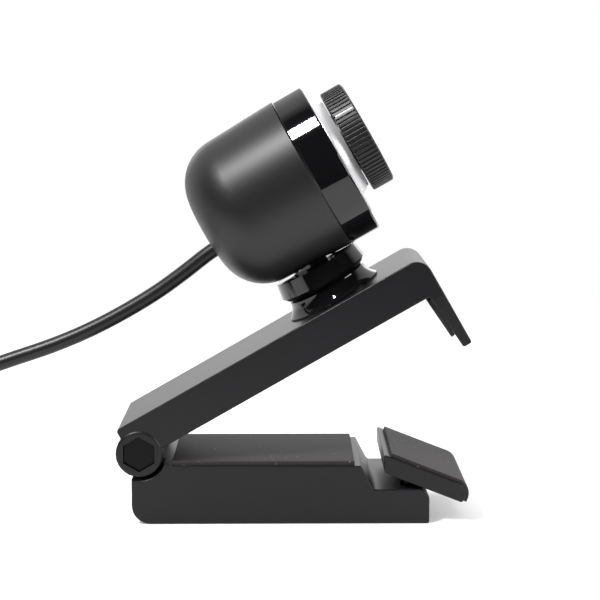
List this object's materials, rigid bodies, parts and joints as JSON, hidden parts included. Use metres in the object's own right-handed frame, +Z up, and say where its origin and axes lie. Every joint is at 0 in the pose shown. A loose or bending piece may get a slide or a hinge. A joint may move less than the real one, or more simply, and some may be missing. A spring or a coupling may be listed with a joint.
{
  "type": "webcam",
  "caption": "Barrel webcam with a focus ring on a swivel, carried by a folding clip stand whose arm, leg and tilting foot hold it on a table, a screen edge or a tripod thread.",
  "frame": {"origin": "mouth of the tripod thread, at the middle of the leg's flat underside, which stands on the table", "axes": "+X towards the foot, the way the camera looks; +Y across the clip, along the hinge pin; +Z up from the table"},
  "size_m": [0.2347, 0.0573, 0.1126],
  "materials": {
    "body_plastic": "satin, finely textured",
    "rubber_pad": "dull, slightly dusty",
    "gloss_black": "polished",
    "matte_black": "soft satin",
    "hinge_black": "satin",
    "washer_plastic": "plain",
    "silver": "silver lacquer, satin",
    "white_mark": "printed",
    "lens_glass": "coated",
    "sensor_glass": "polished",
    "circuit_board": "lacquered",
    "steel": "zinc plated",
    "brass": "machined",
    "cable_jacket": "satin vinyl",
    "plug_steel": "nickel plated",
    "plug_insulator": "plain"
  },
  "bodies": {
    "leg": {"leg_shell": "body_plastic", "leg_base_cover": "body_plastic", "leg_pad": "rubber_pad", "tripod_insert": "brass", "leg_screws": "steel", "hinge_washers": "washer_plastic", "foot_pin": "steel", "cable_run": "cable_jacket", "cable_coil": "cable_jacket", "cable_tail": "cable_jacket", "cable_tie": "cable_jacket", "usb_overmould": "cable_jacket", "usb_shell": "plug_steel", "usb_tongue": "plug_insulator"},
    "arm": {"arm_shell": "body_plastic", "arm_cover": "body_plastic", "arm_screws": "steel", "lip_pad": "rubber_pad", "hinge_pin": "hinge_black", "hinge_nut": "hinge_black", "swivel_base": "gloss_black"},
    "head": {"swivel_collar": "gloss_black", "swivel_washer": "steel", "swivel_screw": "steel", "collar_screws": "steel", "rear_housing": "matte_black", "front_ring": "gloss_black", "front_plate": "silver", "lens_holder": "matte_black", "image_sensor": "sensor_glass", "main_board": "circuit_board", "board_screws": "steel", "microphone": "matte_black", "board_connector": "washer_plastic", "cable_grommet": "cable_jacket", "cable_lead": "cable_jacket"},
    "focus": {"focus_ring": "matte_black", "focus_mark": "white_mark", "lens_barrel": "matte_black", "front_lens": "lens_glass", "rear_lens": "lens_glass"},
    "foot": {"foot_plate": "body_plastic", "foot_pad": "rubber_pad"}
  },
  "joints": [
    {"name": "arm_fold", "type": "hinge", "parent": "leg", "child": "arm", "pos_m": [-0.0363, 0, 0.0184], "axis": [0, -1, 0], "range_deg": [-23, 60], "deforming": ["cable_run"]},
    {"name": "head_swivel", "type": "hinge", "parent": "arm", "child": "head", "pos_m": [0.01416, 0, 0.05686], "axis": [-0.497, 0, 0.8678], "range_deg": [-90, 90], "deforming": ["cable_lead"]},
    {"name": "focus_turn", "type": "hinge", "parent": "head", "child": "focus", "pos_m": [-0.00254, 0, 0.08602], "axis": [0.8678, 0, 0.497], "range_deg": [-150, 150]},
    {"name": "foot_pivot", "type": "hinge", "parent": "leg", "child": "foot", "pos_m": [0.0338, 0, 0.0104], "axis": [0, -1, 0], "range_deg": [0, 22.5]}
  ]
}
